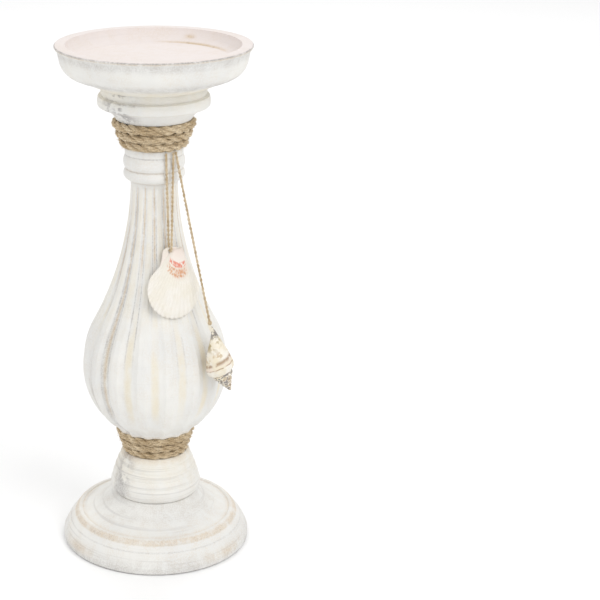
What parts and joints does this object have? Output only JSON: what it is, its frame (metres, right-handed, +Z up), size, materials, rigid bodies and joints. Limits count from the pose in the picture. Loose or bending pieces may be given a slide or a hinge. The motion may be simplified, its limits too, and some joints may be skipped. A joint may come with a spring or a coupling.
{
  "type": "pillar candlestick",
  "caption": "Turned wooden pillar candlestick with a shallow dish, a fluted stem, rope bindings and seashells hanging on twine.",
  "frame": {"origin": "middle of the underside of the felt pad, on the surface that the candlestick stands on", "axes": "+Z up along the turning axis, +X to the right and -Y to the front, where the shells hang"},
  "size_m": [0.108, 0.108, 0.2906],
  "materials": {
    "painted_wood": "matt chalk paint, rubbed back",
    "bare_wood": "plain beech",
    "felt": "felt",
    "zinc_steel": "zinc plated",
    "jute_rope": "three-strand laid jute",
    "jute_twine": "thin laid jute",
    "scallop_valve": "satin shell",
    "whelk_spire": "satin shell"
  },
  "bodies": {
    "stand": {"felt_disc": "felt", "base": "painted_wood", "foot_hub": "painted_wood", "stem": "painted_wood", "capital": "painted_wood", "dish": "painted_wood", "dish_dowel": "bare_wood", "neck_dowel": "bare_wood", "base_washer": "zinc_steel", "base_screw": "zinc_steel", "lower_rope": "jute_rope", "upper_rope": "jute_rope"},
    "scallop_hanger": {"scallop_twine": "jute_twine"},
    "scallop": {"scallop_shell": "scallop_valve"},
    "whelk_hanger": {"whelk_twine": "jute_twine", "whelk_knot": "jute_twine"},
    "whelk": {"whelk_shell": "whelk_spire"}
  },
  "joints": [
    {"name": "scallop_lift", "type": "hinge", "parent": "stand", "child": "scallop_hanger", "pos_m": [0.00715, -0.016, 0.2344], "axis": [-0.9848, -0.1736, 0], "range_deg": [0, 60]},
    {"name": "scallop_swing", "type": "hinge", "parent": "scallop_hanger", "child": "scallop", "pos_m": [0.00845, -0.01898, 0.18028], "axis": [0.3929, -0.8824, 0.2588], "range_deg": [-25, 10]},
    {"name": "whelk_lift", "type": "hinge", "parent": "stand", "child": "whelk_hanger", "pos_m": [0.0116, -0.013, 0.2344], "axis": [-0.5, -0.866, 0], "range_deg": [0, 60]},
    {"name": "whelk_swing", "type": "hinge", "parent": "whelk_hanger", "child": "whelk", "pos_m": [0.0302, -0.0293, 0.1409], "axis": [0.6994, -0.6661, 0.2591], "range_deg": [-20, 25]}
  ]
}
